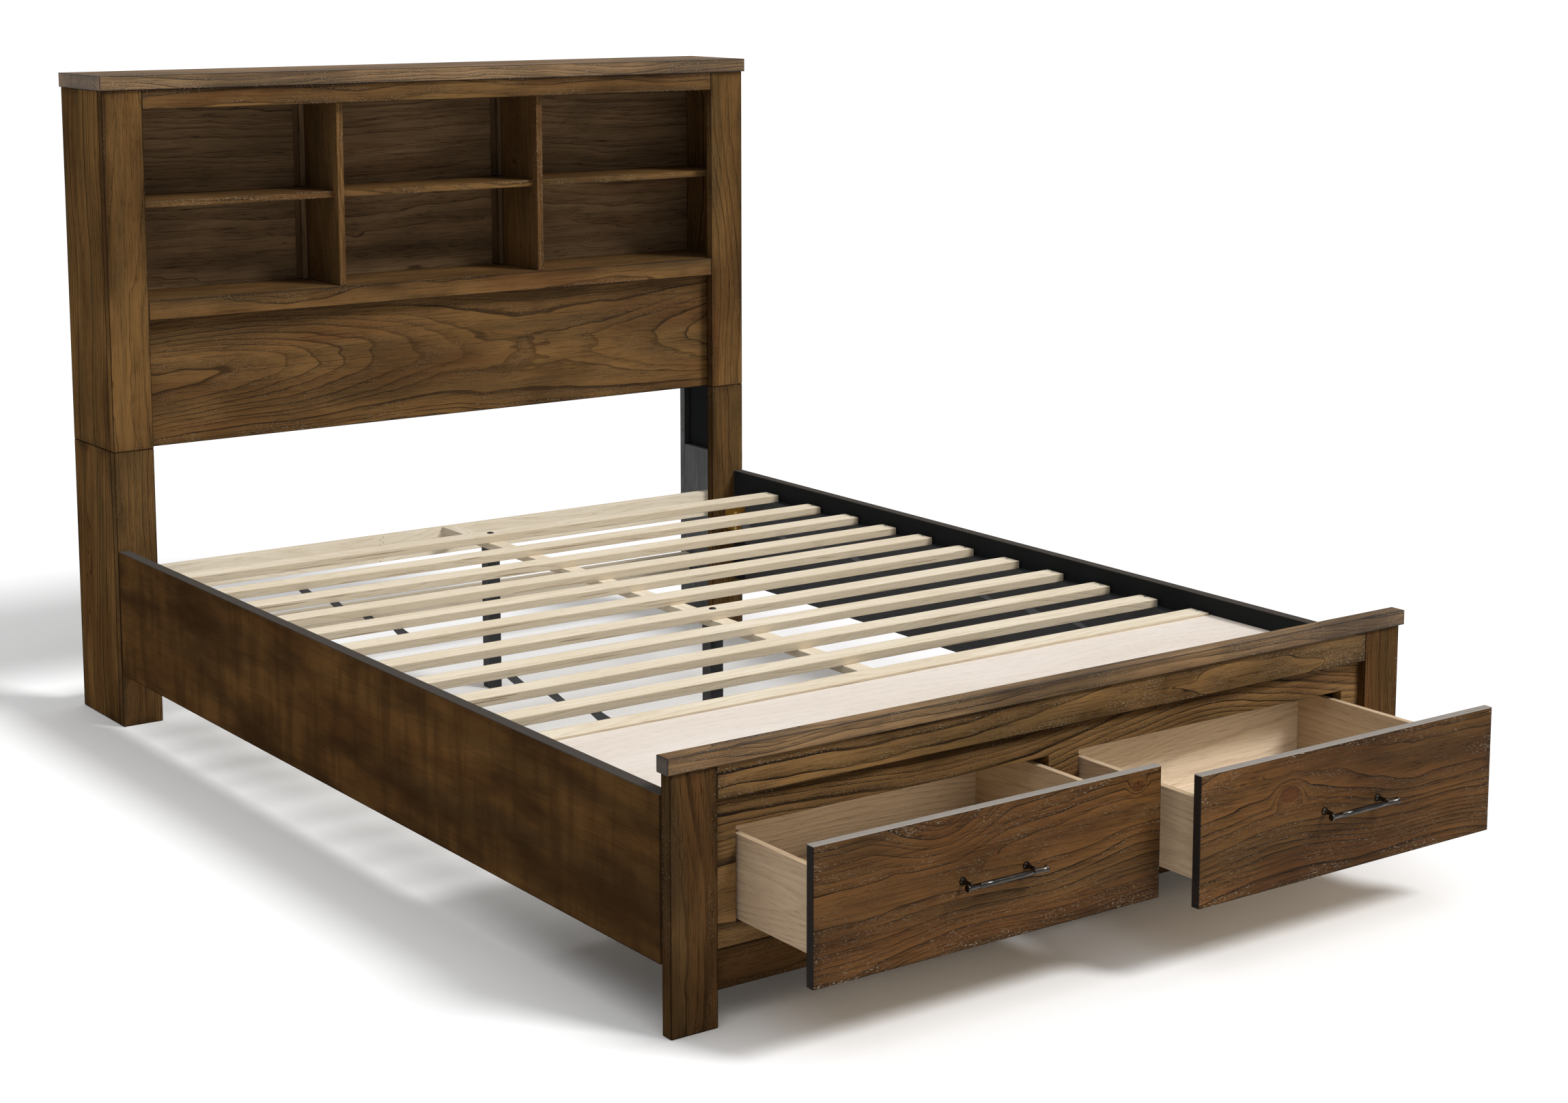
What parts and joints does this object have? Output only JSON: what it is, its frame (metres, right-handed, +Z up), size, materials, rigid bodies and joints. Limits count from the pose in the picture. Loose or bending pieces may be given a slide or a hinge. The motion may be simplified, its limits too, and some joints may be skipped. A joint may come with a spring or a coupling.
{
  "type": "storage platform bed",
  "caption": "Queen platform bed with a bookcase headboard of open cubbies, flat side rails, a slatted mattress base and pull-out storage drawers under the footboard.",
  "frame": {"origin": "on the floor, under the middle of the bed as drawn with its drawers part open", "axes": "+X to the right seen from the foot, +Y towards the headboard, +Z up"},
  "size_m": [1.61, 2.6602, 1.3755],
  "materials": {
    "walnut_stain": "open-pored stained hardwood veneer, satin, eased dark edges",
    "black_wood": "matte black-painted board",
    "pine": "planed unfinished softwood",
    "plywood_deck": "unfinished light plywood",
    "drawer_box_wood": "clear-sealed light hardwood",
    "bronze_pull": "dark bronze, polished",
    "brass_bracket": "yellow zinc plate"
  },
  "bodies": {
    "bed": {"centre_beam": "pine", "drawer_bay_back": "black_wood", "drawer_bay_floor": "plywood_deck", "drawer_face_frame": "walnut_stain", "foot_deck": "plywood_deck", "footboard_bottom_rail": "walnut_stain", "footboard_cap": "walnut_stain", "footboard_post_left": "walnut_stain", "footboard_post_right": "walnut_stain", "footboard_top_rail": "walnut_stain", "head_cross_rail_lower": "pine", "head_cross_rail_upper": "pine", "head_leg_lining_left": "black_wood", "head_leg_lining_right": "black_wood", "head_leg_rear_batten_left": "black_wood", "head_leg_rear_batten_right": "black_wood", "head_leg_side_panel_left": "walnut_stain", "head_leg_side_panel_right": "walnut_stain", "head_leg_stile_left": "walnut_stain", "head_leg_stile_right": "walnut_stain", "headboard_back_panel": "walnut_stain", "headboard_bottom_rail": "walnut_stain", "headboard_bottom_shelf": "walnut_stain", "headboard_cap": "walnut_stain", "headboard_divider_left": "walnut_stain", "headboard_divider_right": "walnut_stain", "headboard_lower_panel": "walnut_stain", "headboard_shelf_left": "walnut_stain", "headboard_shelf_middle": "walnut_stain", "headboard_shelf_right": "walnut_stain", "headboard_side_panel_left": "walnut_stain", "headboard_side_panel_right": "walnut_stain", "headboard_stile_left": "walnut_stain", "headboard_stile_right": "walnut_stain", "headboard_top_rail": "walnut_stain", "rail_bracket_left": "brass_bracket", "rail_bracket_right": "brass_bracket", "side_rail_left": "walnut_stain", "side_rail_right": "walnut_stain", "slat_head": "pine", "slat_ledger_left": "black_wood", "slat_ledger_right": "black_wood", "slat_middle": "pine", "slat_roll_foot": "pine", "slat_roll_head": "pine", "support_leg_head": "black_wood", "support_leg_middle": "black_wood"},
    "drawer_left": {"drawer_left_back": "drawer_box_wood", "drawer_left_bottom": "drawer_box_wood", "drawer_left_front": "walnut_stain", "drawer_left_left_side": "drawer_box_wood", "drawer_left_pull": "bronze_pull", "drawer_left_right_side": "drawer_box_wood"},
    "drawer_right": {"drawer_right_back": "drawer_box_wood", "drawer_right_bottom": "drawer_box_wood", "drawer_right_front": "walnut_stain", "drawer_right_left_side": "drawer_box_wood", "drawer_right_pull": "bronze_pull", "drawer_right_right_side": "drawer_box_wood"}
  },
  "joints": [
    {"name": "drawer_left_slide", "type": "slide", "parent": "bed", "child": "drawer_left", "axis": [0, -1, 0], "range_m": [-0.222, 0.0975]},
    {"name": "drawer_right_slide", "type": "slide", "parent": "bed", "child": "drawer_right", "axis": [0, -1, 0], "range_m": [-0.3015, 0.018]}
  ]
}
